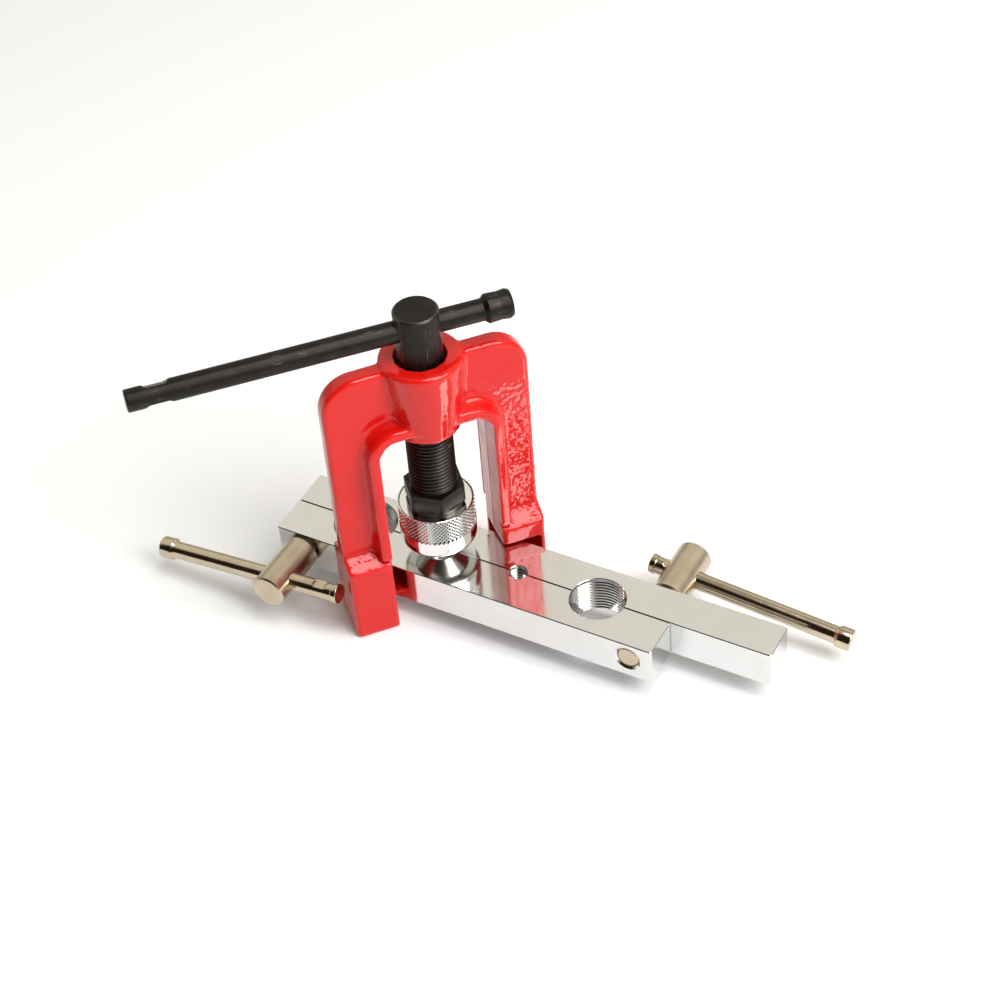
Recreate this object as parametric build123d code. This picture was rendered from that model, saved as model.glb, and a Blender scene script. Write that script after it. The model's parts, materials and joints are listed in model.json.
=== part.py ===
from build123d import *
from math import cos, radians, tan
import os

# Millimetres. The model is built with X along the die bars from their left end, Y across
# them from the split line, and Z up from the bench. settle() then moves it to its origin.

# Die bars: two solid halves that meet at the split line
bar_height = 14.15
front_bar_width = 15.0
rear_bar_width = 14.2
split_gap = 0.15
bar_end_radius = 1.0
bar_edge_chamfer = 0.25

# Along the bars, from their left end: a clamp, the row of die holes, a clamp, the front
# half's end, and the length by which the rear half runs on for a vice to hold
front_clamp_place = 10.4
clamp_to_first_die = 16.9
die_pitch = 29.9
last_die_to_clamp = 18.0
clamp_to_front_end = 8.6
vice_end_length = 35.7

# Die holes, centred on the split line
die_bores = (22.2, 12.7, 6.35, 19.05)
die_mouth_chamfer = 0.2
grip_pitch = 1.3
grip_groove_width = 0.7
grip_groove_depth = 0.35
feed_die = 1

# Dowels that line the halves up, midway between two pairs of holes, pressed into the rear half
dowel_diameter = 4.0
dowel_length = 15.0
dowels_after = (0, 2)
dowel_end_gap = 1.0
dowel_chamfer = 0.5

# Slip-on yoke
yoke_angle = 48.5
yoke_half_width = 35.0
yoke_half_depth = 9.7
web_half_thickness = 3.5
opening_half_width = 19.4
opening_height = 81.7
opening_corner = 6.5
flange_thickness = 3.8
arch_height = 106.0
arch_corner = 12.0
foot_height = 32.9
foot_lip = 7.7
foot_ledge_drop = 3.3
slot_headroom = 0.8
foot_outer_wall = 2.0
foot_end_wall = 3.0
boss_top = 107.1
boss_bottom = 78.2
boss_top_radius = 14.0
boss_bottom_radius = 11.2
boss_rim_round = 1.5
counterbore_clearance = 0.45
counterbore_depth = 6.0
casting_round = 1.6
foot_bottom_round = 0.8
panel_fillet = 2.6
flange_round = 1.2
foot_blend = 1.0

# Feed screw
thread_diameter = 16.0
head_diameter = 15.0
head_above_boss = 17.9
handle_above_boss = 11.1
head_chamfer = 0.6
hex_across_flats = 18.3
hex_height = 6.7
hex_turn = 73.5
collar_radius = 9.75
collar_height = 1.3
collar_above_bars = 22.85
nose_radius = 9.4
nose_length = 7.0

# Knurled cap, cone and thrust ball
cap_wall = 3.65
cap_rim = 0.3
cap_rim_width = 0.9
cap_length = 16.3
cap_bottom_round = 2.0
cap_mouth_radius = 8.9
cap_lip = 4.1
cone_flange_thickness = 3.0
cone_tip_radius = 2.4
cone_tip_clearance = 0.25
ball_diameter = 6.35

# Handle through the screw's head
handle_diameter = 7.4
handle_angle = 46.8
handle_long_arm = 93.8
handle_short_arm = 31.2
handle_knob_diameter = 9.8
handle_knob_length = 9.2
handle_knob_chamfer = 0.6
handle_end_chamfer = 0.45
handle_stake_start = 6.0
handle_stake_length = 9.0
handle_stake_depth = 0.9
handle_stake_turn = 30.0

# Clamp screws and their tommy bars
clamp_head_diameter = 12.3
clamp_head_length = 22.8
clamp_head_gap = 1.0
clamp_head_chamfer = 0.5
clamp_stud_diameter = 8.0
clamp_stud_recess = 0.6
clamp_stud_chamfer = 0.5
clamp_stud_clearance = 0.3
tommy_diameter = 6.2
tommy_length = 73.4
tommy_knob_diameter = 7.7
tommy_knob_length = 4.6
tommy_knob_taper = 1.2
tommy_knob_chamfer = 0.4
tommy_flare_diameter = 6.8
tommy_flare_length = 2.0
tommy_flare_chamfer = 0.3
tommy_stake_start = 5.0
tommy_stake_length = 4.5
tommy_stake_depth = 0.5
clamp_rise = 7.8
clamp_hole_mouth = 0.7
front_tommy_reach = 15.0
front_tommy_end_gap = 0.72
front_tommy_tilt = 5.3
rear_tommy_reach = 12.6
rear_tommy_staked_arm = 11.5
rear_tommy_tilt = 5.0

# Radial clearance of every running fit, and how far a cutter runs past the face it opens
running = 0.05
overshoot = 1.0

# Places that follow from the sizes above
bar_bottom = foot_lip
bar_top = bar_bottom + bar_height
first_die = front_clamp_place + clamp_to_first_die
die_places = [first_die + i * die_pitch for i in range(len(die_bores))]
dowel_places = [die_places[i] + die_pitch / 2 for i in dowels_after]
rear_clamp_place = die_places[-1] + last_die_to_clamp
front_bar_length = rear_clamp_place + clamp_to_front_end
rear_bar_length = front_bar_length + vice_end_length
feed_x = die_places[feed_die]
front_face = -split_gap / 2 - front_bar_width
rear_face = split_gap / 2 + rear_bar_width
clamp_z = bar_bottom + clamp_rise
cap_seat = bar_top + collar_above_bars
hex_bottom = cap_seat + collar_height
hex_top = hex_bottom + hex_height
cap_top = cap_seat + cap_rim
cap_bottom = cap_top - cap_length
nose_bottom = cap_seat - nose_length
cap_radius = nose_radius + running + cap_wall
counterbore_radius = thread_diameter / 2 + counterbore_clearance
clamp_clear_hole = clamp_stud_diameter + 2 * clamp_stud_clearance
cone_tip = bar_top + cone_tip_clearance
cone_flange_bottom = cap_bottom + cap_lip + running
cone_flange_top = cone_flange_bottom + cone_flange_thickness
cone_body_radius = cap_mouth_radius - 2 * running
ball_z = (nose_bottom + cone_flange_top) / 2
handle_z = boss_top + handle_above_boss

# The front tommy bar's staked end stops short of the near foot's outer face
tommy_side = front_face - clamp_head_gap - front_tommy_reach + tommy_flare_diameter / 2
foot_face_x = -yoke_half_width / cos(radians(yoke_angle)) - tommy_side * tan(radians(yoke_angle))
front_tommy_end = feed_x + foot_face_x - front_tommy_end_gap
front_tommy_knob_arm = tommy_length - (front_tommy_end - front_clamp_place)


def turned(points):
    """A solid of revolution about Z from an outline of (radius, height) points."""
    return revolve(Plane.XZ * make_face(Polyline(*points, close=True)), Axis.Z)


def rod(radius, start, end):
    """A plain round bar along Z."""
    return Pos(0, 0, start) * Cylinder(
        radius, end - start, align=(Align.CENTER, Align.CENTER, Align.MIN)
    )


def grip_hole(bore):
    """The cutter of one die hole: a bore with grip grooves and a flaring seat at its mouth."""
    radius = bore / 2
    groove_radius = radius + grip_groove_depth
    seat_bottom = bar_top - die_mouth_chamfer
    outline = [(0, bar_bottom - overshoot), (radius, bar_bottom - overshoot)]
    count = int((seat_bottom - bar_bottom) / grip_pitch)
    for i in range(count):
        middle = bar_bottom + (i + 0.5) * grip_pitch
        outline += [
            (radius, middle - grip_groove_width / 2),
            (groove_radius, middle),
            (radius, middle + grip_groove_width / 2),
        ]
    outline += [
        (radius, seat_bottom),
        (radius + die_mouth_chamfer + overshoot, bar_top + overshoot),
        (0, bar_top + overshoot),
    ]
    return turned(outline)


def die_bar(length, near, far):
    """One half of the die bars, between two Y values, with every die hole cut in it."""
    blank = Box(length, far - near, bar_height)
    bar = Pos(length / 2, (near + far) / 2, bar_bottom + bar_height / 2) * blank
    bar = fillet(bar.edges().filter_by(Axis.Z), bar_end_radius)
    rims = bar.faces().sort_by(Axis.Z)
    bar = chamfer(rims[0].edges() + rims[-1].edges(), bar_edge_chamfer)
    for place, bore in zip(die_places, die_bores):
        bar -= Pos(place, 0, 0) * grip_hole(bore)
    return bar


def cross_hole(diameter, place, start, end):
    """The cutter of a hole through the bars along Y."""
    return Pos(place, 0, clamp_z) * Rot(-90, 0, 0) * rod(diameter / 2, start, end)


def front_die_bar():
    bar = die_bar(front_bar_length, front_face, -split_gap / 2)
    threaded = clamp_stud_diameter + 2 * running
    outside = front_face - overshoot
    bar -= cross_hole(clamp_clear_hole, front_clamp_place, outside, overshoot)
    bar -= cross_hole(threaded, rear_clamp_place, outside, overshoot)
    mouth = threaded / 2 + clamp_hole_mouth
    upright = (Align.CENTER, Align.CENTER, Align.MIN)
    countersink = Cone(mouth, threaded / 2, clamp_hole_mouth, align=upright)
    along = Pos(rear_clamp_place, 0, clamp_z) * Rot(-90, 0, 0)
    bar -= along * Pos(0, 0, front_face) * countersink
    dowel_end = -dowel_length / 2 - dowel_end_gap
    for place in dowel_places:
        bar -= cross_hole(dowel_diameter + 2 * running, place, dowel_end, overshoot)
    return bar


def rear_die_bar():
    bar = die_bar(rear_bar_length, split_gap / 2, rear_face)
    threaded = clamp_stud_diameter + 2 * running
    outside = rear_face + overshoot
    bar -= cross_hole(threaded, front_clamp_place, -overshoot, outside)
    bar -= cross_hole(clamp_clear_hole, rear_clamp_place, -overshoot, outside)
    for place in dowel_places:
        bar -= cross_hole(dowel_diameter, place, -overshoot, dowel_length / 2)
    return bar


def dowel(place):
    pin = rod(dowel_diameter / 2, -dowel_length / 2, dowel_length / 2)
    pin = chamfer(pin.faces().sort_by(Axis.Z)[0].edges(), dowel_chamfer)
    return Pos(place, 0, clamp_z) * Rot(-90, 0, 0) * pin


def upright(half_width, height, corner):
    """An upright outline in the XZ plane, centred on Z, with its two top corners rounded."""
    outline = Pos(0, height / 2) * Rectangle(2 * half_width, height)
    outline = fillet(outline.vertices().group_by(Axis.Y)[-1], corner)
    return Plane.XZ * outline


def yoke_foot():
    """The foot on the +X side. Its slot is open towards -Y and towards the screw."""
    shoulder = foot_height - foot_ledge_drop
    outline = Polyline(
        (-yoke_half_depth, 0),
        (-yoke_half_depth, shoulder),
        (-web_half_thickness, foot_height),
        (web_half_thickness, foot_height),
        (yoke_half_depth, shoulder),
        (yoke_half_depth, 0),
        close=True,
    )
    foot = extrude(Plane.YZ * make_face(outline), yoke_half_width - opening_half_width)
    foot = fillet(foot.edges().filter_by(Axis.Z), casting_round)
    foot = Pos(opening_half_width, 0, 0) * foot
    foot = fillet(foot.faces().sort_by(Axis.Z)[0].edges(), foot_bottom_round)
    slot_width = yoke_half_width - foot_outer_wall
    slot_depth = 2 * yoke_half_depth - foot_end_wall
    slot_height = bar_height + slot_headroom
    corner = (Align.MIN, Align.MIN, Align.MIN)
    slot = Box(slot_width, slot_depth, slot_height, align=corner)
    return foot - Pos(0, -yoke_half_depth, bar_bottom) * slot


def arch_edges(body, offset):
    """The edges of the arch's own outlines that lie this far from its middle plane."""
    close = 0.01
    flat = body.edges().filter_by(Plane.XZ)
    return [
        edge
        for edge in flat
        if abs(abs(edge.center().Y) - offset) < close and edge.center().Z > close
    ]


def yoke_arch():
    """The web and the flange round the opening, not yet opened, with their casting radii."""
    flange = upright(
        opening_half_width + flange_thickness,
        opening_height + flange_thickness,
        opening_corner + flange_thickness,
    )
    arch = upright(yoke_half_width, arch_height, arch_corner)
    web = extrude(arch, web_half_thickness, both=True)
    body = web + extrude(flange, yoke_half_depth, both=True)
    beside_flange = Box(
        2 * (opening_half_width + flange_thickness) + overshoot,
        4 * yoke_half_depth,
        2 * (opening_height + flange_thickness) + overshoot,
    )
    edges = arch_edges(body, web_half_thickness)
    inner = [edge for edge in edges if beside_flange.is_inside(edge.center())]
    body = fillet(inner, panel_fillet)
    edges = arch_edges(body, web_half_thickness)
    outer = [edge for edge in edges if not beside_flange.is_inside(edge.center())]
    body = fillet(outer, casting_round)
    return fillet(arch_edges(body, yoke_half_depth), flange_round)


def yoke_boss():
    outline = [
        (0, boss_bottom),
        (boss_bottom_radius, boss_bottom),
        (boss_top_radius, boss_top),
        (0, boss_top),
    ]
    boss = turned(outline)
    return fillet(boss.edges().sort_by(Axis.Z)[-1], boss_rim_round)


def yoke():
    body = yoke_arch() + yoke_boss()
    opening = upright(opening_half_width, opening_height, opening_corner)
    through_boss = Pos(0, 0, (boss_bottom + boss_top) / 2) * Cylinder(
        boss_bottom_radius, boss_top - boss_bottom
    )
    body -= extrude(opening, yoke_half_depth + overshoot, both=True) - through_boss
    leg_bottom = foot_height - foot_blend
    below = Box(3 * yoke_half_width, 3 * yoke_half_depth, 2 * leg_bottom)
    body -= below
    for turn in (0, 180):
        body += Rot(0, 0, turn) * yoke_foot()
    above = boss_top + overshoot
    body -= rod(thread_diameter / 2 + running, boss_bottom - overshoot, above)
    body -= rod(counterbore_radius, boss_top - counterbore_depth, above)
    return Pos(feed_x, 0, 0) * Rot(0, 0, yoke_angle) * body


def feed_screw():
    head_top = boss_top + head_above_boss
    thread_top = boss_top - counterbore_depth
    body = rod(head_diameter / 2, thread_top - overshoot, head_top)
    body = chamfer(body.edges().sort_by(Axis.Z)[-1], head_chamfer)
    body += rod(thread_diameter / 2, hex_top - overshoot, thread_top)
    hexagon = RegularPolygon(hex_across_flats / 2, 6, major_radius=False)
    body += Pos(0, 0, hex_bottom) * Rot(0, 0, hex_turn) * extrude(hexagon, hex_height)
    body += rod(collar_radius, cap_seat, hex_bottom)
    body += rod(nose_radius, nose_bottom, cap_seat)
    body -= Pos(0, 0, ball_z) * Sphere(ball_diameter / 2 + running)
    along = Pos(0, 0, handle_z) * Rot(0, 0, handle_angle) * Rot(0, 90, 0)
    body -= along * Cylinder(handle_diameter / 2 + running, 2 * head_diameter)
    return Pos(feed_x, 0, 0) * body


def knurled_cap():
    bore = nose_radius + running
    ledge = cap_bottom + cap_lip
    body = turned(
        [
            (bore, ledge),
            (cap_mouth_radius, ledge),
            (cap_mouth_radius, cap_bottom),
            (cap_radius, cap_bottom),
            (cap_radius, cap_top),
            (cap_radius - cap_rim_width + cap_rim, cap_top),
            (cap_radius - cap_rim_width, cap_seat),
            (bore, cap_seat),
        ]
    )
    lowest = body.edges().group_by(Axis.Z)[0]
    body = fillet(lowest.sort_by(SortBy.LENGTH)[-1], cap_bottom_round)
    return Pos(feed_x, 0, 0) * body


def flaring_cone():
    shoulder = cone_tip + cone_body_radius - cone_tip_radius
    body = turned(
        [
            (0, cone_tip),
            (cone_tip_radius, cone_tip),
            (cone_body_radius, shoulder),
            (cone_body_radius, cone_flange_bottom),
            (nose_radius - running, cone_flange_bottom),
            (nose_radius - running, cone_flange_top),
            (0, cone_flange_top),
        ]
    )
    body -= Pos(0, 0, ball_z) * Sphere(ball_diameter / 2 + running)
    return Pos(feed_x, 0, 0) * body


def thrust_ball():
    return Pos(feed_x, 0, ball_z) * Sphere(ball_diameter / 2)


def pinched(radius, end, length, depth):
    """The cutter of two flats pinched into a bar along Z, with their far end at a height."""
    sides = []
    for side in (-1, 1):
        flat = Box(2 * radius, 4 * radius, length)
        sides.append(Pos(side * (2 * radius - depth), 0, end - length / 2) * flat)
    return sides[0] + sides[1]


def t_handle():
    """The handle, with its knob at the short arm's end and a pinched stop on the long arm."""
    radius = handle_diameter / 2
    knob = handle_knob_diameter / 2
    bar = rod(radius, -handle_long_arm, handle_short_arm - handle_knob_length / 2)
    bar = chamfer(bar.edges().sort_by(Axis.Z)[0], handle_end_chamfer)
    end = rod(knob, handle_short_arm - handle_knob_length, handle_short_arm)
    end = chamfer(end.edges().filter_by(GeomType.CIRCLE), handle_knob_chamfer)
    stake_end = -handle_long_arm + handle_stake_start + handle_stake_length
    pinch = pinched(radius, stake_end, handle_stake_length, handle_stake_depth)
    along = Rot(0, 0, handle_angle) * Rot(0, 90, 0) * Rot(0, 0, handle_stake_turn)
    return Pos(feed_x, 0, handle_z) * along * (bar + end - pinch)


def clamp_screw(reach):
    """A clamp screw along Z: its head's inner face is at 0, with the cross hole at -reach."""
    radius = clamp_head_diameter / 2
    head = rod(radius, -clamp_head_length, 0)
    head = chamfer(head.edges().filter_by(GeomType.CIRCLE), clamp_head_chamfer)
    bars = split_gap + front_bar_width + rear_bar_width
    stud_length = clamp_head_gap + bars - clamp_stud_recess
    stud = rod(clamp_stud_diameter / 2, -overshoot, stud_length)
    stud = chamfer(stud.edges().sort_by(Axis.Z)[-1], clamp_stud_chamfer)
    hole = Cylinder(tommy_diameter / 2 + running, 2 * clamp_head_diameter)
    return head + stud - Pos(0, 0, -reach) * Rot(0, 90, 0) * hole


def tommy_bar(knob_arm):
    """A tommy bar along Z, centred on its screw, with the knob down and the staked end up."""
    radius = tommy_diameter / 2
    top = tommy_length - knob_arm
    bar = rod(radius, -knob_arm, top)
    shoulder = -knob_arm + tommy_knob_length
    knob = rod(tommy_knob_diameter / 2, -knob_arm, shoulder)
    knob = chamfer(knob.edges().sort_by(Axis.Z)[0], tommy_knob_chamfer)
    taper = Cone(tommy_knob_diameter / 2, radius, tommy_knob_taper)
    knob += Pos(0, 0, shoulder + tommy_knob_taper / 2) * taper
    flare = rod(tommy_flare_diameter / 2, top - tommy_flare_length, top)
    flare = chamfer(flare.edges().filter_by(GeomType.CIRCLE), tommy_flare_chamfer)
    pinch = pinched(radius, top - tommy_stake_start, tommy_stake_length, tommy_stake_depth)
    return bar - pinch + knob + flare


def at_front_clamp(piece):
    """Places a piece built about a clamp screw's own axis at the bars' front face."""
    place = Pos(front_clamp_place, front_face - clamp_head_gap, clamp_z)
    return place * Rot(-90, 0, 0) * Rot(0, 0, -front_tommy_tilt) * piece


def at_rear_clamp(piece):
    place = Pos(rear_clamp_place, rear_face + clamp_head_gap, clamp_z)
    return place * Rot(90, 0, 0) * Rot(0, 0, -rear_tommy_tilt) * piece


def front_tommy_bar():
    along = Pos(0, 0, -front_tommy_reach) * Rot(0, 90, 0)
    return at_front_clamp(along * tommy_bar(front_tommy_knob_arm))


def rear_tommy_bar():
    along = Pos(0, 0, -rear_tommy_reach) * Rot(0, -90, 0)
    return at_rear_clamp(along * tommy_bar(tommy_length - rear_tommy_staked_arm))


def settle(pieces):
    """Moves the pieces so that the origin is under the middle of the whole tool's box."""
    box = Compound(list(pieces.values())).bounding_box()
    middle = box.center()
    shift = Pos(-middle.X, -middle.Y, -box.min.Z)
    return {name: shift * piece for name, piece in pieces.items()}


pieces = {
    "rear_die_bar": rear_die_bar(),
    "front_die_bar": front_die_bar(),
    "left_dowel": dowel(dowel_places[0]),
    "right_dowel": dowel(dowel_places[1]),
    "yoke": yoke(),
    "feed_screw": feed_screw(),
    "knurled_cap": knurled_cap(),
    "flaring_cone": flaring_cone(),
    "thrust_ball": thrust_ball(),
    "t_handle": t_handle(),
    "front_clamp_screw": at_front_clamp(clamp_screw(front_tommy_reach)),
    "front_tommy_bar": front_tommy_bar(),
    "rear_clamp_screw": at_rear_clamp(clamp_screw(rear_tommy_reach)),
    "rear_tommy_bar": rear_tommy_bar(),
}

os.makedirs("parts", exist_ok=True)
for name, piece in settle(pieces).items():
    export_step(piece, f"parts/{name}.step")
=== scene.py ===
import json
import math

import bmesh
import bpy
from mathutils import Matrix, Vector, noise


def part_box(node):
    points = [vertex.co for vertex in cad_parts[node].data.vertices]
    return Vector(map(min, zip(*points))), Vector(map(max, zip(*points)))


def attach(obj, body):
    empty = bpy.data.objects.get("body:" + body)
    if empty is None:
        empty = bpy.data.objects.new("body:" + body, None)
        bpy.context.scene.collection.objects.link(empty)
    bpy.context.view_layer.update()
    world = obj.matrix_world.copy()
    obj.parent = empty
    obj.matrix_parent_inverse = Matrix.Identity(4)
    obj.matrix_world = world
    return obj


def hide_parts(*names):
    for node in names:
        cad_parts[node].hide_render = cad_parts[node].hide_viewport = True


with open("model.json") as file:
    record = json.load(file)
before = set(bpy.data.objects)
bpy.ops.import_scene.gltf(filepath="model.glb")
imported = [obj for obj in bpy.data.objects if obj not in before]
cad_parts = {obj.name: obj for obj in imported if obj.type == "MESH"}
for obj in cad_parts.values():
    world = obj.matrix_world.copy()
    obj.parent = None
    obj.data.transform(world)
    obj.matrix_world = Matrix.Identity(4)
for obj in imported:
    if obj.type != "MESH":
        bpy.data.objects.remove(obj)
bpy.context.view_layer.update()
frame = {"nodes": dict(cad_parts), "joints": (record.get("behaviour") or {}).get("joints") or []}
mm = 0.001  # the sizes in each dictionary are millimetres, and heights are from the table
joints = {joint["name"]: joint for joint in frame["joints"]}
print("frame loaded:", len(frame["nodes"]), "CAD nodes")


def boxMiddle(node):
    low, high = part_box(node)
    return (low + high) / 2


screwAxis = boxMiddle("thrust_ball")  # the feed screw's pieces are turned about its vertical


def linear(hexColour):
    channels = [int(hexColour[i:i + 2], 16) / 255 for i in (1, 3, 5)]
    return [c / 12.92 if c <= 0.04045 else ((c + 0.055) / 1.055) ** 2.4 for c in channels] + [1]


def addNode(tree, kind, inputs=None, **settings):
    node = tree.nodes.new(kind)
    for name, value in settings.items():
        setattr(node, name, value)
    for socket, value in (inputs or {}).items():
        if isinstance(value, bpy.types.NodeSocket):
            tree.links.new(value, node.inputs[socket])
        else:
            node.inputs[socket].default_value = value
    return node


def newMaterial(name):
    material = bpy.data.materials.new(name)
    material.use_nodes = True
    tree = material.node_tree
    tree.nodes.clear()
    shader = addNode(tree, "ShaderNodeBsdfPrincipled")
    addNode(tree, "ShaderNodeOutputMaterial", {"Surface": shader.outputs[0]})
    return material, tree, shader


def setRamp(ramp, stops):
    elements = ramp.color_ramp.elements
    while len(elements) < len(stops):
        elements.new(1)
    for element, (place, colour) in zip(elements, stops):
        element.position = place
        element.color = linear(colour)


def newObject(name, mesh):
    piece = bpy.data.objects.new(name, mesh)
    bpy.context.scene.collection.objects.link(piece)
    return piece


def softShade(piece, sharpAngle=32):
    mesh = piece.data
    mesh.shade_smooth()
    mesh.set_sharp_from_angle(angle=math.radians(sharpAngle))


def bakeModifiers(piece):
    bpy.context.view_layer.update()
    evaluated = piece.evaluated_get(bpy.context.evaluated_depsgraph_get())
    mesh = bpy.data.meshes.new_from_object(evaluated)
    mesh.name = piece.name
    piece.modifiers.clear()
    piece.data = mesh


def cadCopy(node, name):
    # the CAD mesh is loose triangles, so the copy is merged before anything is done to it
    mesh = bpy.data.meshes.new(name)
    work = bmesh.new()
    work.from_mesh(frame["nodes"][node].data)
    bmesh.ops.remove_doubles(work, verts=work.verts, dist=0.002 * mm)
    work.to_mesh(mesh)
    work.free()
    if "custom_normal" in mesh.attributes:  # the import's own shading no longer fits a merged mesh
        mesh.attributes.remove(mesh.attributes["custom_normal"])
    return newObject(name, mesh)


def settle(piece, material, body, slot, *nodes):
    if piece.data.materials:
        piece.data.materials[0] = material
    else:
        piece.data.materials.append(material)
    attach(piece, body)
    if nodes:
        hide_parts(*nodes)


# an outline is (height, radius, corner radius) in millimetres; its corners become arcs
def roundedOutline(corners, arcSteps=5):
    points = []
    for i, (height, radius, corner) in enumerate(corners):
        here = Vector((radius, height))
        if corner == 0 or i in (0, len(corners) - 1):
            points.append(here)
            continue
        before = Vector((corners[i - 1][1], corners[i - 1][0])) - here
        after = Vector((corners[i + 1][1], corners[i + 1][0])) - here
        half = before.angle(after) / 2
        reach = min(corner / math.tan(half), 0.48 * before.length, 0.48 * after.length)
        start, end = before.normalized() * reach, after.normalized() * reach
        for step in range(arcSteps + 1):
            t = step / arcSteps
            points.append(here + start * (1 - t) ** 2 + end * t ** 2)
    return points


# turns an outline of (radius, height) points about an axis through a place
def lathe(name, outline, place, axis, segments=96, frontTo=None):
    along = Vector(axis).normalized()
    side = Vector(frontTo) if frontTo else along.orthogonal()
    side = (side - along * side.dot(along)).normalized()
    across = along.cross(side)
    vertices, rings = [], []
    for radius, height in outline:
        centre = Vector(place) + along * height * mm
        if radius < 1e-6:
            rings.append([len(vertices)])
            vertices.append(centre)
            continue
        rings.append(range(len(vertices), len(vertices) + segments))
        for i in range(segments):
            turn = 2 * math.pi * i / segments
            vertices.append(centre + (side * math.cos(turn) + across * math.sin(turn)) * radius * mm)
    faces = []
    for low, high in zip(rings, rings[1:]):
        for i in range(segments):
            j = (i + 1) % segments
            if len(low) == 1:
                faces.append((low[0], high[j], high[i]))
            elif len(high) == 1:
                faces.append((low[i], low[j], high[0]))
            else:
                faces.append((low[i], low[j], high[j], high[i]))
    mesh = bpy.data.meshes.new(name)
    mesh.from_pydata(vertices, [], faces)
    work = bmesh.new()
    work.from_mesh(mesh)
    bmesh.ops.recalc_face_normals(work, faces=work.faces)
    work.to_mesh(mesh)
    work.free()
    return newObject(name, mesh)


# squeezes a bar between two jaws: beyond the flat, the dent fades out in a short scoop
def pinch(piece, place, axis, jaw, start, end, flatAt, scoop):
    along, jaw = Vector(axis).normalized(), Vector(jaw).normalized()
    for vertex in piece.data.vertices:
        offset = vertex.co - Vector(place)
        height, depth = offset.dot(along) / mm, offset.dot(jaw) / mm
        outside = max(start - height, height - end, 0)
        limit = flatAt + (outside / scoop) ** 2
        if abs(depth) > limit:
            vertex.co -= jaw * (abs(depth) - limit) * math.copysign(mm, depth)


def denseRows(outline, start, end, step):
    dense = []
    for (r0, h0), (r1, h1) in zip(outline, outline[1:]):
        dense.append((r0, h0))
        if min(h0, h1) < end and max(h0, h1) > start and r0 > 1 and r1 > 1:
            count = int(abs(h1 - h0) / step)
            dense += [(r0 + (r1 - r0) * i / count, h0 + (h1 - h0) * i / count) for i in range(1, count)]
    return dense + [tuple(outline[-1])]


viewpoint = {
    "from the bars' near left corner": (373.82, -461.62, 564.23),
    "azimuth": 31.43,
    "elevation": 42.877,
    "roll": -4.787,
    "lens": 83.46,
}


def addCamera():
    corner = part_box("front_die_bar")[0]
    azimuth, elevation, roll = (math.radians(viewpoint[k]) for k in ("azimuth", "elevation", "roll"))
    back = Vector((math.sin(azimuth) * math.cos(elevation), -math.cos(azimuth) * math.cos(elevation),
                   math.sin(elevation)))
    right = Vector((math.cos(azimuth), math.sin(azimuth), 0))
    up = back.cross(right)
    rolledRight = right * math.cos(roll) + up * math.sin(roll)
    rolledUp = up * math.cos(roll) - right * math.sin(roll)
    camera = bpy.data.objects.new("camera", bpy.data.cameras.new("camera"))
    camera.data.lens = viewpoint["lens"]
    camera.data.sensor_width = 36
    turn = Matrix((rolledRight, rolledUp, back)).transposed().to_4x4()
    place = corner + Vector(viewpoint["from the bars' near left corner"]) * mm
    camera.matrix_world = Matrix.Translation(place) @ turn
    bpy.context.scene.collection.objects.link(camera)
    bpy.context.scene.camera = camera


addCamera()


studio = {
    "dome": 0.95,
    "horizon": "#b6b4b0",
    "high": "#fcf6e8",
    "zenith": "#b4b0aa",
    "room": "#2c231d",
    "room side": (-0.15, -0.88, 0.45),
    "key power": 11.5,
    "key place": (0.88, -0.09, 0.9),
    "key size": 0.72,
    "top power": 5,
    "top place": (0.28, 0.02, 1.2),
    "top size": 0.45,
    "fill power": 3.2,
    "fill place": (0.75, -0.95, 0.75),
    "fill size": 1.0,
}


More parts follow.
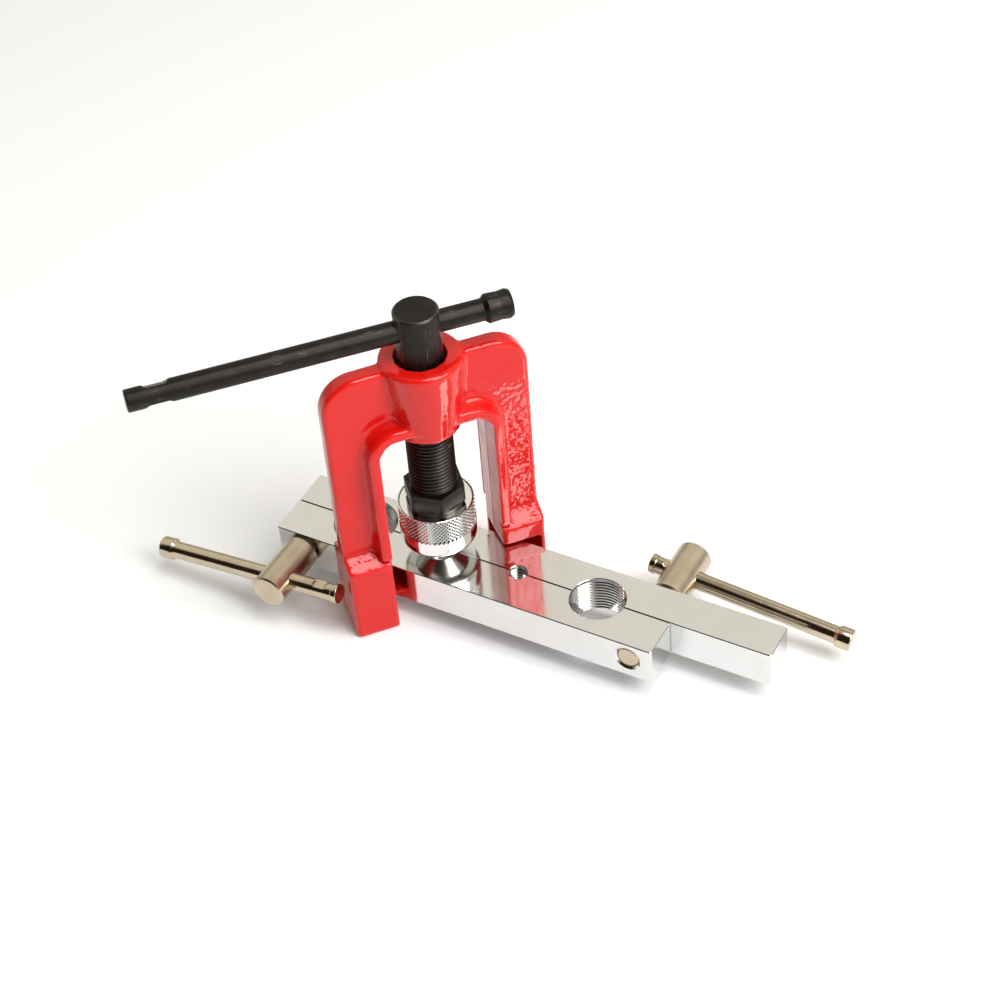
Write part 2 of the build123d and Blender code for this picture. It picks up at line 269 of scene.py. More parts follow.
def addStudio():
    scene = bpy.context.scene
    scene.view_settings.view_transform = "Standard"
    world = bpy.data.worlds.new("white studio")
    scene.world = world
    world.use_nodes = True
    tree = world.node_tree
    tree.nodes.clear()
    place = addNode(tree, "ShaderNodeTexCoord")
    height = addNode(tree, "ShaderNodeSeparateXYZ", {0: place.outputs["Generated"]})
    ramp = addNode(tree, "ShaderNodeValToRGB", {0: height.outputs["Z"]})
    setRamp(ramp, [(0.0, studio["horizon"]), (0.3, studio["horizon"]), (0.52, studio["high"]),
                   (0.78, studio["high"]), (0.92, studio["zenith"])])
    # the unlit room behind the camera is what gives bright round bars their dark bands
    aside = Vector(studio["room side"]).normalized()
    toRoom = addNode(tree, "ShaderNodeVectorMath", {0: place.outputs["Generated"], 1: aside},
                     operation="DOT_PRODUCT")
    opening = addNode(tree, "ShaderNodeMapRange", {0: toRoom.outputs["Value"], 1: 0.62, 2: 0.78})
    sky = addNode(tree, "ShaderNodeMix",
                  {0: opening.outputs[0], 6: ramp.outputs[0], 7: linear(studio["room"])}, data_type="RGBA")
    glow = addNode(tree, "ShaderNodeBackground", {"Color": sky.outputs[2], "Strength": studio["dome"]})
    addNode(tree, "ShaderNodeOutputWorld", {"Surface": glow.outputs[0]})
    for name in ("key", "top", "fill"):
        light = bpy.data.lights.new(name, "AREA")
        light.energy = studio[name + " power"]
        light.size = studio[name + " size"]
        lamp = bpy.data.objects.new(name, light)
        lamp.location = studio[name + " place"]
        aim = Vector((0, 0, 0.05)) - lamp.location
        lamp.rotation_euler = aim.to_track_quat("-Z", "Y").to_euler()
        lamp.visible_glossy = name != "fill"
        scene.collection.objects.link(lamp)
    half = 3.0  # metres of board each way
    floorMesh = bpy.data.meshes.new("table")
    floorMesh.from_pydata([(-half, -half, 0), (half, -half, 0), (half, half, 0), (-half, half, 0)], [],
                          [(0, 1, 2, 3)])
    table = newObject("table", floorMesh)
    material, tree, shader = newMaterial("matt white board")
    shader.inputs["Base Color"].default_value = linear("#f4f6f8")
    shader.inputs["Roughness"].default_value = 0.9
    shader.inputs["Specular IOR Level"].default_value = 0.1
    floorMesh.materials.append(material)


addStudio()
print("camera and studio made")


# Gloss enamel over an iron casting: a deep red with a wet coat, painted shade in its creases and hollows,
# orange peel, and a few chips
def redEnamel():
    material, tree, shader = newMaterial("gloss red enamel on cast iron")
    place = addNode(tree, "ShaderNodeTexCoord").outputs["Object"]
    edges = addNode(tree, "ShaderNodeNewGeometry").outputs["Pointiness"]
    # painted shade: the red darkens in creases and hollows; it lightens on sharp edges, where the coat runs
    # thin
    creaseShadeAndThinEdges = addNode(tree, "ShaderNodeValToRGB", {0: edges})
    setRamp(creaseShadeAndThinEdges, [(0.42, "#760807"), (0.488, "#cb110d"), (0.53, "#d31711"), (0.60, "#e2433a")])
    cloud = addNode(tree, "ShaderNodeTexNoise", {"Vector": place, "Scale": 90, "Detail": 3})
    shade = addNode(tree, "ShaderNodeMapRange", {0: cloud.outputs[0], 3: 0.93, 4: 1.05})
    tinted = addNode(tree, "ShaderNodeMix", {0: 1.0, 6: creaseShadeAndThinEdges.outputs[0], 7: shade.outputs[0]},
                     data_type="RGBA", blend_type="MULTIPLY")
    # chips: a few cells of a 6 mm pattern, each a fleck under half a millimetre across
    cells = addNode(tree, "ShaderNodeTexVoronoi", {"Vector": place, "Scale": 170})
    ragged = addNode(tree, "ShaderNodeTexNoise", {"Vector": place, "Scale": 2600, "Detail": 2})
    spread = addNode(tree, "ShaderNodeMath", {0: ragged.outputs[0], 1: 0.12}, operation="MULTIPLY")
    reach = addNode(tree, "ShaderNodeMath", {0: cells.outputs["Distance"], 1: spread.outputs[0]},
                    operation="ADD")
    small = addNode(tree, "ShaderNodeMath", {0: reach.outputs[0], 1: 0.125}, operation="LESS_THAN")
    pick = addNode(tree, "ShaderNodeSeparateColor", {0: cells.outputs["Color"]})
    rare = addNode(tree, "ShaderNodeMath", {0: pick.outputs[0], 1: 0.10}, operation="LESS_THAN")
    chip = addNode(tree, "ShaderNodeMath", {0: small.outputs[0], 1: rare.outputs[0]}, operation="MULTIPLY")
    colour = addNode(tree, "ShaderNodeMix",
                     {0: chip.outputs[0], 6: tinted.outputs[2], 7: linear("#3a0b0a")}, data_type="RGBA")
    peel = addNode(tree, "ShaderNodeTexNoise",
                   {"Vector": place, "Scale": 520, "Detail": 2, "Roughness": 0.5})
    soft = addNode(tree, "ShaderNodeBump",
                   {"Strength": 0.6, "Distance": 0.1 * mm, "Height": peel.outputs[0]})
    tree.links.new(colour.outputs[2], shader.inputs["Base Color"])
    tree.links.new(soft.outputs[0], shader.inputs["Normal"])
    tree.links.new(soft.outputs[0], shader.inputs["Coat Normal"])
    shader.inputs["Roughness"].default_value = 0.45
    shader.inputs["IOR"].default_value = 1.5
    shader.inputs["Specular IOR Level"].default_value = 0.05
    shader.inputs["Coat IOR"].default_value = 1.42
    shader.inputs["Coat Weight"].default_value = 1.0
    shader.inputs["Coat Roughness"].default_value = 0.04
    return material


# Black oxide on turned steel: dark and satin, with light drag marks along the bar, and lighter edges that
# are rubbed wear and, on the thread crests, also a painted highlight
def blackOxide(name, along, rubAndSheenFrom=0.56):
    material, tree, shader = newMaterial(name)
    place = addNode(tree, "ShaderNodeTexCoord").outputs["Object"]
    turn = Vector(along).to_track_quat("X", "Z").inverted().to_euler()
    aligned = addNode(tree, "ShaderNodeMapping", {"Vector": place, "Rotation": turn})
    stretched = addNode(tree, "ShaderNodeMapping",
                        {"Vector": aligned.outputs[0], "Scale": (0.08, 1, 1)})
    drag = addNode(tree, "ShaderNodeTexNoise",
                   {"Vector": stretched.outputs[0], "Scale": 2200, "Detail": 3, "Roughness": 0.6})
    marks = addNode(tree, "ShaderNodeMapRange", {0: drag.outputs[0], 1: 0.60, 2: 0.78})
    blotch = addNode(tree, "ShaderNodeTexNoise", {"Vector": place, "Scale": 140, "Detail": 4})
    patch = addNode(tree, "ShaderNodeMapRange", {0: blotch.outputs[0], 1: 0.48, 2: 0.68})
    worn = addNode(tree, "ShaderNodeMath", {0: marks.outputs[0], 1: patch.outputs[0]}, operation="MULTIPLY")
    edges = addNode(tree, "ShaderNodeNewGeometry").outputs["Pointiness"]
    # lighter edges are rubbed wear; on the feed screw's thread crests they are also a painted highlight
    rubbedAndCrestSheen = addNode(tree, "ShaderNodeMapRange", {0: edges, 1: rubAndSheenFrom, 2: rubAndSheenFrom + 0.12, 4: 0.55})
    wearAndCrestSheen = addNode(tree, "ShaderNodeMath", {0: worn.outputs[0], 1: rubbedAndCrestSheen.outputs[0]}, operation="MAXIMUM")
    base = addNode(tree, "ShaderNodeMix",
                   {0: blotch.outputs[0], 6: linear("#1d1b1a"), 7: linear("#322f2d")}, data_type="RGBA")
    colour = addNode(tree, "ShaderNodeMix",
                     {0: wearAndCrestSheen.outputs[0], 6: base.outputs[2], 7: linear("#948e86")}, data_type="RGBA")
    gloss = addNode(tree, "ShaderNodeMapRange", {0: blotch.outputs[0], 3: 0.34, 4: 0.46})
    bump = addNode(tree, "ShaderNodeBump",
                   {"Strength": 0.25, "Distance": 0.02 * mm, "Height": drag.outputs[0]})
    tree.links.new(colour.outputs[2], shader.inputs["Base Color"])
    tree.links.new(gloss.outputs[0], shader.inputs["Roughness"])
    tree.links.new(bump.outputs[0], shader.inputs["Normal"])
    shader.inputs["Metallic"].default_value = 0.85
    return material


# Satin nickel on turned steel: warm, with fine tool rings round the axis that smear its highlights.
# polish is the roughness of its smoothest spots
def satinNickel(name, along, polish):
    material, tree, shader = newMaterial(name)
    place = addNode(tree, "ShaderNodeTexCoord").outputs["Object"]
    turn = Vector(along).to_track_quat("X", "Z").inverted().to_euler()
    aligned = addNode(tree, "ShaderNodeMapping", {"Vector": place, "Rotation": turn})
    squeezed = addNode(tree, "ShaderNodeMapping",
                       {"Vector": aligned.outputs[0], "Scale": (1, 0.06, 0.06)})
    rings = addNode(tree, "ShaderNodeTexNoise",
                    {"Vector": squeezed.outputs[0], "Scale": 3200, "Detail": 2, "Roughness": 0.5})
    cloud = addNode(tree, "ShaderNodeTexNoise", {"Vector": place, "Scale": 160, "Detail": 3})
    colour = addNode(tree, "ShaderNodeMix",
                     {0: cloud.outputs[0], 6: linear("#b3a38a"), 7: linear("#d4c8b2")}, data_type="RGBA")
    gloss = addNode(tree, "ShaderNodeMapRange", {0: cloud.outputs[0], 3: polish, 4: polish + 0.1})
    bump = addNode(tree, "ShaderNodeBump",
                   {"Strength": 0.3, "Distance": 0.015 * mm, "Height": rings.outputs[0]})
    tree.links.new(colour.outputs[2], shader.inputs["Base Color"])
    tree.links.new(gloss.outputs[0], shader.inputs["Roughness"])
    tree.links.new(bump.outputs[0], shader.inputs["Normal"])
    shader.inputs["Metallic"].default_value = 1.0
    return material


# Bright plate over a ground bar: a soft mirror, with grinding lines along the bar and faint smudges
def groundPlate():
    material, tree, shader = newMaterial("bright plate on ground steel")
    place = addNode(tree, "ShaderNodeTexCoord").outputs["Object"]
    stretched = addNode(tree, "ShaderNodeMapping", {"Vector": place, "Scale": (0.02, 1, 1)})
    lines = addNode(tree, "ShaderNodeTexNoise",
                    {"Vector": stretched.outputs[0], "Scale": 3000, "Detail": 3, "Roughness": 0.6})
    smudge = addNode(tree, "ShaderNodeTexNoise",
                     {"Vector": place, "Scale": 70, "Detail": 5, "Roughness": 0.6})
    colour = addNode(tree, "ShaderNodeMix",
                     {0: smudge.outputs[0], 6: linear("#d2d2d0"), 7: linear("#e6e6e5")}, data_type="RGBA")
    gloss = addNode(tree, "ShaderNodeMapRange",
                    {0: smudge.outputs[0], 1: 0.3, 2: 0.7, 3: 0.07, 4: 0.17})
    bump = addNode(tree, "ShaderNodeBump",
                   {"Strength": 0.2, "Distance": 0.01 * mm, "Height": lines.outputs[0]})
    tree.links.new(colour.outputs[2], shader.inputs["Base Color"])
    tree.links.new(gloss.outputs[0], shader.inputs["Roughness"])
    tree.links.new(bump.outputs[0], shader.inputs["Normal"])
    shader.inputs["Metallic"].default_value = 1.0
    return material


# Chromium plate on a knurled cap: a clear mirror, a little hazy where fingers hold it
def capChrome():
    material, tree, shader = newMaterial("chromium plate")
    place = addNode(tree, "ShaderNodeTexCoord").outputs["Object"]
    haze = addNode(tree, "ShaderNodeTexNoise", {"Vector": place, "Scale": 260, "Detail": 3})
    gloss = addNode(tree, "ShaderNodeMapRange", {0: haze.outputs[0], 3: 0.05, 4: 0.13})
    tree.links.new(gloss.outputs[0], shader.inputs["Roughness"])
    shader.inputs["Base Color"].default_value = linear("#e9e9e8")
    shader.inputs["Metallic"].default_value = 1.0
    return material


# Hardened and ground steel: grey, with fine rings from the grinding wheel
def groundSteel():
    material, tree, shader = newMaterial("ground tool steel")
    place = addNode(tree, "ShaderNodeTexCoord").outputs["Object"]
    squeezed = addNode(tree, "ShaderNodeMapping", {"Vector": place, "Scale": (0.05, 0.05, 1)})
    rings = addNode(tree, "ShaderNodeTexNoise", {"Vector": squeezed.outputs[0], "Scale": 4000, "Detail": 2})
    gloss = addNode(tree, "ShaderNodeMapRange", {0: rings.outputs[0], 3: 0.14, 4: 0.26})
    bump = addNode(tree, "ShaderNodeBump",
                   {"Strength": 0.25, "Distance": 0.01 * mm, "Height": rings.outputs[0]})
    tree.links.new(gloss.outputs[0], shader.inputs["Roughness"])
    tree.links.new(bump.outputs[0], shader.inputs["Normal"])
    shader.inputs["Base Color"].default_value = linear("#c2c0bb")
    shader.inputs["Metallic"].default_value = 1.0
    return material


enamel = redEnamel()
plate = groundPlate()
chromium = capChrome()
toolSteel = groundSteel()
handleAxis = Vector(joints["handle_slide"]["axis"])
# the lower edge threshold lightens the thread crests more: rubbed wear and a painted highlight
oxideUpright = blackOxide("black oxide on the feed screw", (0, 0, 1), 0.52)
oxideHandle = blackOxide("black oxide on the handle", handleAxis)
print("finishes made")


yokeSizes = {
    "turn": 48.5,
    "voxel": 0.525,
    "soft passes": 8,
    "boss blend passes": 45,
    "boss foot": 78.2,
    "boss top": 107.1,
    "boss foot radius": 11.2,
    "boss top radius": 14.0,
    "web half thickness": 3.5,
    "blend from": 80,
    "blend to": 105,
    "blend reach": 4.2,
    "blend gain": 1.6,
    "machined reach": 9.5,
    "sole": 1.2,
    "swell": 0.10,
    "swell width": 7,
    "sand": 0.16,
    "sand width": 1.45,
    "sand to": 92.0,
    "sand fade": 10,
    "panel depth": 5.5,
    "panel fade": 1.5,
    "panels from": 30,
    "foot share": 0.25,
    "far leg from": 20,
    "far leg fade": 6,
    "ledge from": 28.0,
    "ledge to": 34.0,
    "rough": 0.08,
    "rough panel": 0.1,
    "rough far leg": 0.95,
    "rough ledge": 0.5,
    "draft": 0.045,
    "flash": 0.12,
    "flash width": 0.6,
}


# the casting's own directions: u across its two legs, v through its thickness
def yokeDirections():
    turn = math.radians(yokeSizes["turn"])
    return Vector((math.cos(turn), math.sin(turn), 0)), Vector((-math.sin(turn), math.cos(turn), 0))


# 0 up to a start, then rising to 1 over a fade
def fadeIn(value, start, fade):
    return max(0, min(1, (value - start) / fade))


def softenCasting(piece):
    remesh = piece.modifiers.new("skin", "REMESH")
    remesh.mode = "VOXEL"
    remesh.voxel_size = yokeSizes["voxel"] * mm
    soften = piece.modifiers.new("cast edges", "SMOOTH")
    soften.factor = 0.5
    soften.iterations = yokeSizes["soft passes"]
    bakeModifiers(piece)


# the boss runs into the web and the arch in wide fillets, which sharp joins of the solid lack
def blendBoss(piece):
    s = yokeSizes
    across, through = yokeDirections()
    group = piece.vertex_groups.new(name="boss blend")
    for vertex in piece.data.vertices:
        offset = vertex.co - screwAxis
        reach = math.hypot(offset.x, offset.y) / mm
        height = vertex.co.z / mm
        depth = abs(offset.dot(through)) / mm
        taper = fadeIn(height, s["boss foot"], s["boss top"] - s["boss foot"])
        wall = s["boss foot radius"] + (s["boss top radius"] - s["boss foot radius"]) * taper
        fromWall = abs(reach - wall)
        fromWeb = abs(depth - s["web half thickness"])
        near = max(0, 1 - math.hypot(fromWall, fromWeb) / s["blend reach"])
        if near > 0 and s["blend from"] < height < s["blend to"]:
            group.add([vertex.index], min(1, near * s["blend gain"]), "REPLACE")
    soften = piece.modifiers.new("boss blend", "SMOOTH")
    soften.factor = 0.6
    soften.iterations = s["boss blend passes"]
    soften.vertex_group = "boss blend"
    bakeModifiers(piece)
    piece.vertex_groups.clear()


# sand-cast skin: a slow swell everywhere, grain that is rougher in the panels than on the boss, and
# inside the legs the draft and flash that show where the mould's halves met
def castSkin(piece):
    s = yokeSizes
    across, through = yokeDirections()
    mesh = piece.data
    normals = [vertex.normal.copy() for vertex in mesh.vertices]
    for vertex, normal in zip(mesh.vertices, normals):
        offset = vertex.co - screwAxis
        reach, height = math.hypot(offset.x, offset.y) / mm, vertex.co.z / mm
        depth, along = abs(offset.dot(through)) / mm, offset.dot(across) / mm
        if reach < s["machined reach"] or height < s["sole"]:
            continue  # the bores and the feet's soles are machined
        swell = noise.noise(vertex.co / (s["swell width"] * mm)) * s["swell"]
        grain = noise.noise(vertex.co / (s["sand width"] * mm)) * s["sand"]
        fine = noise.noise(vertex.co / (0.5 * s["sand width"] * mm)) * s["sand"] * 0.5
        inPanel = s["foot share"]
        if height > s["panels from"]:
            inPanel = fadeIn(s["panel depth"], depth, s["panel fade"])
        farLeg = fadeIn(along, s["far leg from"], s["far leg fade"])
        farLeg *= fadeIn(s["sand to"], height, s["sand fade"])
        onLedge = 1 if normal.z > 0.6 and s["ledge from"] < height < s["ledge to"] else 0
        rough = s["rough"] + s["rough far leg"] * inPanel * farLeg
        rough += s["rough panel"] * inPanel + s["rough ledge"] * onLedge
        facing = normal.dot(across)
        inside = fadeIn(abs(facing), 0.7, 0.2) if facing * along < 0 else 0
        seam = s["flash"] * max(0, 1 - depth / s["flash width"]) - s["draft"] * depth
        vertex.co += normal * (swell + (grain + fine) * rough + seam * inside) * mm


def makeYoke():
    piece = cadCopy("yoke", "yoke_casting")
    softenCasting(piece)
    blendBoss(piece)
    castSkin(piece)
    piece.data.shade_smooth()
    settle(piece, enamel, "yoke_frame", "red_enamel", "yoke")
    print("yoke cast:", len(piece.data.polygons), "faces")


makeYoke()


screwSizes = {
    "thread radius": 7.96,
    "thread depth": 0.85,
    "pitch": 1.5,
    "thread from": 52.7,
    "thread to": 101.1,
    "overlap": 0.3,
    "rows per turn": 12,
}


# a geometry tree with its named inputs, and what its Group Input gives
def newTree(name, inputs):
    tree = bpy.data.node_groups.new(name, "GeometryNodeTree")
    tree.interface.new_socket("Geometry", in_out="INPUT", socket_type="NodeSocketGeometry")
    identifiers = {}
    for label, kind in inputs.items():
        socket = tree.interface.new_socket(label, in_out="INPUT", socket_type="NodeSocket" + kind)
        identifiers[label] = socket.identifier
    tree.interface.new_socket("Geometry", in_out="OUTPUT", socket_type="NodeSocketGeometry")
    return tree, identifiers, addNode(tree, "NodeGroupInput").outputs


def endTree(tree, geometry, finish):
    real = addNode(tree, "GeometryNodeRealizeInstances", {"Geometry": geometry})
    done = addNode(tree, "GeometryNodeSetMaterial", {"Geometry": real.outputs[0], "Material": finish})
    addNode(tree, "NodeGroupOutput", {"Geometry": done.outputs[0]})


# a right-hand thread: each point of a plain tube is drawn in by how far it lies from the helix
def threadTree():
    tree, identifiers, given = newTree("screw thread", {
        "Radius": "Float", "Depth": "Float", "Pitch": "Float", "Length": "Float",
        "Middle": "Vector", "Rows": "Int", "Finish": "Material",
    })
    tube = addNode(tree, "GeometryNodeMeshCylinder",
                   {"Vertices": 72, "Side Segments": given["Rows"], "Radius": given["Radius"],
                    "Depth": given["Length"]})
    place = addNode(tree, "GeometryNodeInputPosition").outputs[0]
    xyz = addNode(tree, "ShaderNodeSeparateXYZ", {0: place}).outputs
    # where each point lies between one turn of the helix and the next
    angle = addNode(tree, "ShaderNodeMath", {0: xyz["Y"], 1: xyz["X"]}, operation="ARCTAN2")
    turns = addNode(tree, "ShaderNodeMath", {0: angle.outputs[0], 1: 2 * math.pi}, operation="DIVIDE")
    rise = addNode(tree, "ShaderNodeMath", {0: xyz["Z"], 1: given["Pitch"]}, operation="DIVIDE")
    phase = addNode(tree, "ShaderNodeMath", {0: rise.outputs[0], 1: turns.outputs[0]}, operation="SUBTRACT")
    wave = addNode(tree, "ShaderNodeMath", {0: phase.outputs[0], 1: 0.5}, operation="PINGPONG")
    flank = addNode(tree, "ShaderNodeMapRange", {0: wave.outputs[0], 1: 0.07, 2: 0.43})
    # the groove runs out to nothing over one pitch at each end
    height = addNode(tree, "ShaderNodeMath", {0: xyz["Z"]}, operation="ABSOLUTE")
    half = addNode(tree, "ShaderNodeMath", {0: given["Length"], 1: 0.5}, operation="MULTIPLY")
    toEnd = addNode(tree, "ShaderNodeMath", {0: half.outputs[0], 1: height.outputs[0]}, operation="SUBTRACT")
    runOut = addNode(tree, "ShaderNodeMapRange", {0: toEnd.outputs[0], 1: 0.0, 2: given["Pitch"]})
    cut = addNode(tree, "ShaderNodeMath", {0: flank.outputs[0], 1: runOut.outputs[0]}, operation="MULTIPLY")
    # the points of the groove move in towards the axis
    depth = addNode(tree, "ShaderNodeMath", {0: cut.outputs[0], 1: given["Depth"]}, operation="MULTIPLY")
    share = addNode(tree, "ShaderNodeMath", {0: depth.outputs[0], 1: given["Radius"]}, operation="DIVIDE")
    keep = addNode(tree, "ShaderNodeMath", {0: 1.0, 1: share.outputs[0]}, operation="SUBTRACT")
    newX = addNode(tree, "ShaderNodeMath", {0: xyz["X"], 1: keep.outputs[0]}, operation="MULTIPLY")
    newY = addNode(tree, "ShaderNodeMath", {0: xyz["Y"], 1: keep.outputs[0]}, operation="MULTIPLY")
    target = addNode(tree, "ShaderNodeCombineXYZ",
                     {"X": newX.outputs[0], "Y": newY.outputs[0], "Z": xyz["Z"]})
    cutTube = addNode(tree, "GeometryNodeSetPosition", {"Geometry": tube.outputs[0],
                                                        "Position": target.outputs[0]})
    moved = addNode(tree, "GeometryNodeTransform", {"Geometry": cutTube.outputs[0],
                                                    "Translation": given["Middle"]})
    both = addNode(tree, "GeometryNodeJoinGeometry")
    tree.links.new(given["Geometry"], both.inputs[0])
    tree.links.new(moved.outputs[0], both.inputs[0])
    endTree(tree, both.outputs[0], given["Finish"])
    return tree, identifiers


def applyTree(piece, tree, values, identifiers):
    modifier = piece.modifiers.new(tree.name, "NODES")
    modifier.node_group = tree
    for name, value in values.items():
        modifier[identifiers[name]] = value
    bakeModifiers(piece)


# keeps what lies above or below a level of a copied solid, and closes the cut
def keepSide(work, level, keepAbove):
    geometry = work.verts[:] + work.edges[:] + work.faces[:]
    bmesh.ops.bisect_plane(work, geom=geometry, dist=1e-7, plane_co=(0, 0, level), plane_no=(0, 0, 1),
                           clear_inner=keepAbove, clear_outer=not keepAbove)
    rim = [edge for edge in work.edges if edge.is_boundary]
    bmesh.ops.holes_fill(work, edges=rim)
    if keepAbove:  # a ring inside the head's edge, so that wear stays at the edge
        top = max(vertex.co.z for vertex in work.verts)
        crown = [face for face in work.faces if min(vertex.co.z for vertex in face.verts) > top - 1e-5]
        bmesh.ops.inset_region(work, faces=crown, thickness=0.5 * mm)


def makeFeedScrew():
    s = screwSizes
    low, high, overlap = s["thread from"] * mm, s["thread to"] * mm, s["overlap"] * mm
    joined = bmesh.new()
    for level, keepAbove in ((low + overlap, False), (high - overlap, True)):
        half = cadCopy("feed_screw", "half")
        work = bmesh.new()
        work.from_mesh(half.data)
        keepSide(work, level, keepAbove)
        work.to_mesh(half.data)
        work.free()
        joined.from_mesh(half.data)
        bpy.data.objects.remove(half)
    mesh = bpy.data.meshes.new("feed_screw_threaded")
    joined.to_mesh(mesh)
    joined.free()
    piece = newObject("feed_screw_threaded", mesh)
    tree, identifiers = threadTree()
    length = high - low
    middle = Vector((screwAxis.x, screwAxis.y, (low + high) / 2))
    applyTree(piece, tree, {
        "Radius": s["thread radius"] * mm,
        "Depth": s["thread depth"] * mm,
        "Pitch": s["pitch"] * mm,
        "Length": length,
        "Middle": middle,
        "Rows": int(length / mm / s["pitch"] * s["rows per turn"]),
        "Finish": oxideUpright,
    }, identifiers)
    softShade(piece)
    settle(piece, oxideUpright, "screw_group", "black_oxide", "feed_screw")
    print("feed screw threaded:", len(piece.data.polygons), "faces")


makeFeedScrew()


capSizes = {
    "columns": 110,
    "row": 0.76,
    "rows": 13,
    "band from": 34.9,
    "depth": 0.42,
    "rim": 0.9,
    "radius": 13.1,
    "bottom": 28.7,
    "top": 45.0,
    "bore": 9.45,
    "mouth": 8.9,
    "ledge": 32.8,
    "rim drop": 0.3,
}


# a diamond knurl: every second point of the band's lattice is pressed in, like a chessboard
def knurlTree():
    tree, identifiers, given = newTree("diamond knurl", {
        "Columns": "Float", "Row": "Float", "Band from": "Float", "Band to": "Float",
        "Outside": "Float", "Depth": "Float", "Middle": "Vector", "Finish": "Material",
    })
    place = addNode(tree, "GeometryNodeInputPosition").outputs[0]
    local = addNode(tree, "ShaderNodeVectorMath", {0: place, 1: given["Middle"]}, operation="SUBTRACT")
    xyz = addNode(tree, "ShaderNodeSeparateXYZ", {0: local.outputs[0]}).outputs
    # the point's column and row in the lattice, and whether their sum is odd
    angle = addNode(tree, "ShaderNodeMath", {0: xyz["Y"], 1: xyz["X"]}, operation="ARCTAN2")
    turns = addNode(tree, "ShaderNodeMath", {0: angle.outputs[0], 1: 2 * math.pi}, operation="DIVIDE")
    columns = addNode(tree, "ShaderNodeMath", {0: turns.outputs[0], 1: given["Columns"]},
                      operation="MULTIPLY")
    column = addNode(tree, "ShaderNodeMath", {0: columns.outputs[0]}, operation="ROUND")
    above = addNode(tree, "ShaderNodeMath", {0: xyz["Z"], 1: given["Band from"]}, operation="SUBTRACT")
    rows = addNode(tree, "ShaderNodeMath", {0: above.outputs[0], 1: given["Row"]}, operation="DIVIDE")
    row = addNode(tree, "ShaderNodeMath", {0: rows.outputs[0]}, operation="ROUND")
    both = addNode(tree, "ShaderNodeMath", {0: column.outputs[0], 1: row.outputs[0]}, operation="ADD")
    odd = addNode(tree, "ShaderNodeMath", {0: both.outputs[0], 1: 1.0}, operation="PINGPONG")
    # only the outer wall between the band's edges is pressed
    inside = addNode(tree, "ShaderNodeMath", {0: above.outputs[0], 1: 0.2 * mm}, operation="GREATER_THAN")
    below = addNode(tree, "ShaderNodeMath", {0: xyz["Z"], 1: given["Band to"]}, operation="LESS_THAN")
    flat = addNode(tree, "ShaderNodeCombineXYZ", {"X": xyz["X"], "Y": xyz["Y"]})
    reach = addNode(tree, "ShaderNodeVectorMath", {0: flat.outputs[0]}, operation="LENGTH")
    outer = addNode(tree, "ShaderNodeMath", {0: reach.outputs["Value"], 1: given["Outside"]},
                    operation="GREATER_THAN")
    press = given["Depth"]
    for share in (odd, inside, below, outer):
        product = addNode(tree, "ShaderNodeMath", {0: share.outputs[0], 1: press}, operation="MULTIPLY")
        press = product.outputs[0]
    inward = addNode(tree, "ShaderNodeVectorMath", {0: flat.outputs[0]}, operation="NORMALIZE")
    back = addNode(tree, "ShaderNodeMath", {0: press, 1: -1.0}, operation="MULTIPLY")
    step = addNode(tree, "ShaderNodeVectorMath", {0: inward.outputs[0], "Scale": back.outputs[0]},
                   operation="SCALE")
    pressed = addNode(tree, "GeometryNodeSetPosition", {"Geometry": given["Geometry"],
                                                        "Offset": step.outputs[0]})
    split = addNode(tree, "GeometryNodeTriangulate", {"Mesh": pressed.outputs[0]},
                    quad_method="SHORTEST_DIAGONAL")
    endTree(tree, split.outputs[0], given["Finish"])
    return tree, identifiers


def makeCap():
    s = capSizes
    bandTop = s["band from"] + s["row"] * s["rows"]
    outline = roundedOutline([
        (s["ledge"], s["bore"], 0), (s["ledge"], s["mouth"], 0.15), (s["bottom"], s["mouth"], 0.4),
        (s["bottom"], s["radius"], 2.2), (s["band from"], s["radius"], 0),
    ], 8)
    outline = [(point.x, point.y) for point in outline]
    outline += [(s["radius"], s["band from"] + i * s["row"]) for i in range(1, s["rows"] + 1)]
    inner = s["top"] - s["rim drop"]
    outline += [(s["radius"] - 0.45, s["top"] - 0.08), (s["radius"] - 0.6, s["top"]),
                (s["radius"] - s["rim"], inner), (s["bore"], inner), (s["bore"], s["ledge"])]
    place = Vector((screwAxis.x, screwAxis.y, 0))
    piece = lathe("knurled_cap_chrome", outline, place, (0, 0, 1), s["columns"], frontTo=(1, 0, 0))
    work = bmesh.new()
    work.from_mesh(piece.data)
    bmesh.ops.remove_doubles(work, verts=work.verts, dist=0.001 * mm)
    bmesh.ops.recalc_face_normals(work, faces=work.faces)
    work.to_mesh(piece.data)
    work.free()
    tree, identifiers = knurlTree()
    applyTree(piece, tree, {
        "Columns": float(s["columns"]),
        "Row": s["row"] * mm,
        "Band from": s["band from"] * mm,
        "Band to": (bandTop + 0.2) * mm,
        "Outside": (s["radius"] - 0.1) * mm,
        "Depth": s["depth"] * mm,
        "Middle": place,
        "Finish": chromium,
    }, identifiers)
    softShade(piece, 28)
    settle(piece, chromium, "screw_group", "cap_chrome", "knurled_cap")
    print("cap knurled:", len(piece.data.polygons), "faces")


makeCap()


handleSizes = {
    "radius": 3.7,
    "long arm": 93.62,
    "short arm": 31.15,
    "knob radius": 4.9,
    "knob length": 9.2,
    "stake from": 6.0,
    "stake length": 9.0,
    "stake depth": 0.9,
    "stake turn": 30.0,
    "stake scoop": 2.0,
}


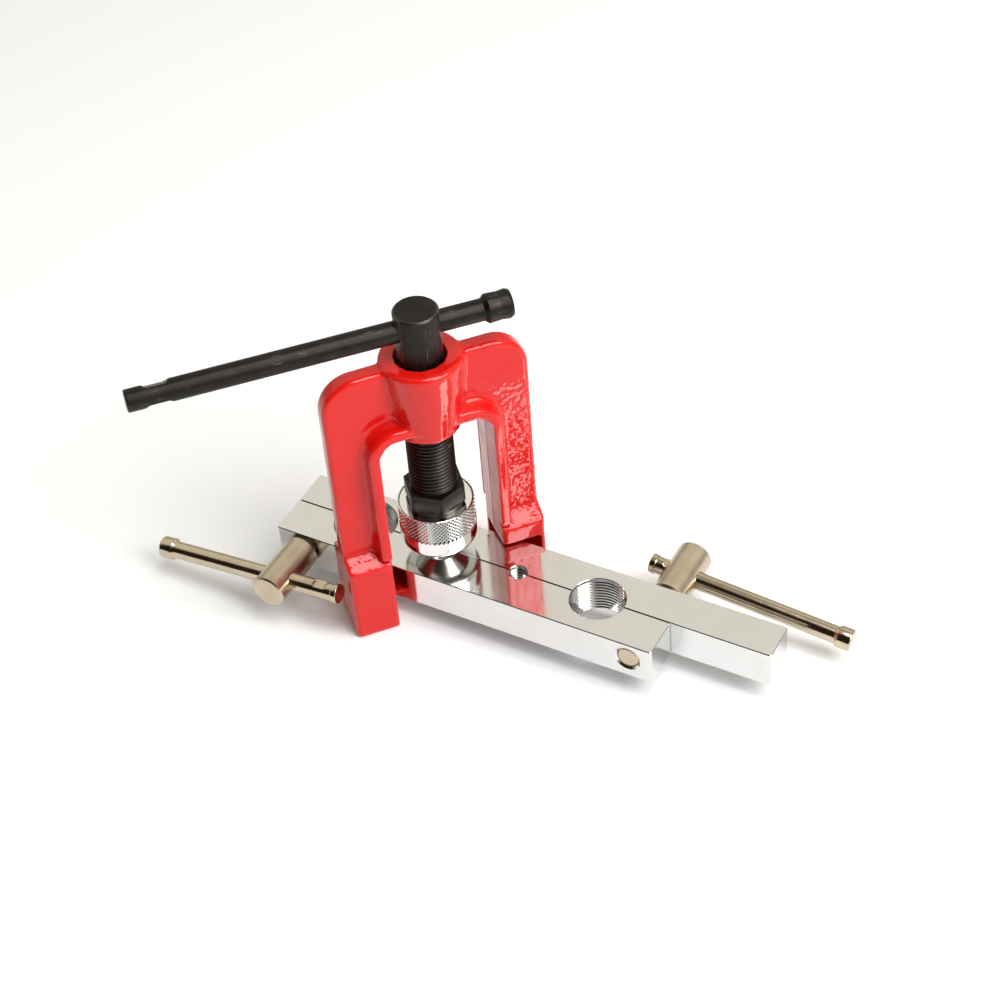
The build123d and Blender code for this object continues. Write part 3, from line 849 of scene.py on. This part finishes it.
def makeHandle():
    s = handleSizes
    place = Vector((screwAxis.x, screwAxis.y, boxMiddle("t_handle").z))
    start, end, knob = -s["long arm"], s["short arm"], s["knob radius"]
    shoulder = end - s["knob length"]
    outline = roundedOutline([
        (start, 0, 0), (start, s["radius"], 0.6), (shoulder - 0.2, s["radius"], 0.8),
        (shoulder + 1.0, knob - 0.05, 0.8), (shoulder + 5.2, knob - 0.28, 2.0),
        (end - 1.3, knob, 0.6), (end, knob - 0.5, 0.4), (end, 0, 0),
    ])
    outline = [(point.x, point.y) for point in outline]
    outline = denseRows(outline, start + 2, start + 20, 0.35)
    piece = lathe("t_handle_bar", outline, place, handleAxis)
    turn = math.radians(s["stake turn"])
    level = Vector((0, 0, 1)).cross(handleAxis)
    jaw = Vector((0, 0, 1)) * math.cos(turn) + level * math.sin(turn)
    # the scoops take up the rest of the pinched length
    dentFrom = start + s["stake from"] + 1.5
    dentTo = start + s["stake from"] + s["stake length"] - 2.5
    pinch(piece, place, handleAxis, jaw, dentFrom, dentTo, s["radius"] - s["stake depth"], s["stake scoop"])
    softShade(piece, 40)
    settle(piece, oxideHandle, "handle", "black_oxide", "t_handle")


makeHandle()


tommySizes = {
    "radius": 3.1,
    "length": 73.4,
    "knob radius": 3.85,
    "knob length": 4.6,
    "knob taper": 1.2,
    "flare radius": 3.4,
    "flare length": 2.0,
    "stake from": 5.0,
    "stake length": 4.5,
    "stake depth": 0.65,
    "stake scoop": 1.3,
}


def makeTommy(name, node, body, clamp, slide):
    s = tommySizes
    towardsKnob = Vector(joints[slide]["axis"])
    middle, hub = boxMiddle(node), boxMiddle(clamp)
    place = Vector((hub.x, middle.y, hub.z))
    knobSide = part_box(node)[0 if towardsKnob.x < 0 else 1].x
    tilt = s["knob radius"] * abs(towardsKnob.z)  # the knob's tilted end reaches this much further
    knobArm = (abs(knobSide - hub.x) / mm - tilt) / abs(towardsKnob.x)
    far, shoulder = knobArm - s["length"], knobArm - s["knob length"]
    outline = roundedOutline([
        (far, 0, 0), (far, s["flare radius"], 0.35), (far + s["flare length"], s["flare radius"], 0.3),
        (far + s["flare length"] + 0.2, s["radius"], 0.15),
        (shoulder - s["knob taper"], s["radius"], 0.8), (shoulder, s["knob radius"], 0.5),
        (knobArm, s["knob radius"], 0.6), (knobArm, 0, 0),
    ])
    outline = [(point.x, point.y) for point in outline]
    outline = denseRows(outline, far + 3, far + 14, 0.3)
    piece = lathe(name, outline, place, towardsKnob)
    jaw = towardsKnob.cross(Vector((0, 1, 0)))  # pinched from above and below
    dentFrom = far + s["stake from"] + 0.6
    dentTo = far + s["stake from"] + s["stake length"] - 0.6
    pinch(piece, place, towardsKnob, jaw, dentFrom, dentTo, s["radius"] - s["stake depth"], s["stake scoop"])
    softShade(piece, 40)
    finish = satinNickel("satin nickel on " + name.replace("_", " "), towardsKnob, 0.1)
    settle(piece, finish, body, "nickel", node)


def makeClampScrew(name, node, body):
    piece = cadCopy(node, name)
    softShade(piece)
    finish = satinNickel("satin nickel on " + name.replace("_", " "), (0, 1, 0), 0.26)
    settle(piece, finish, body, "nickel", node)


makeClampScrew("front_clamp_turned", "front_clamp_screw", "front_clamp")
makeClampScrew("rear_clamp_turned", "rear_clamp_screw", "rear_clamp")
makeTommy("front_tommy_staked", "front_tommy_bar", "front_tommy", "front_clamp_screw", "front_tommy_slide")
makeTommy("rear_tommy_staked", "rear_tommy_bar", "rear_tommy", "rear_clamp_screw", "rear_tommy_slide")
print("handle, clamp screws and tommy bars made")


def finishNode(node, material):
    slots = frame["nodes"][node].data.materials
    if slots:
        slots[0] = material
    else:
        slots.append(material)


for node in ("front_die_bar", "rear_die_bar"):
    finishNode(node, plate)
for node in ("left_dowel", "right_dowel", "flaring_cone", "thrust_ball"):
    finishNode(node, toolSteel)
print("finishes put on the CAD nodes")
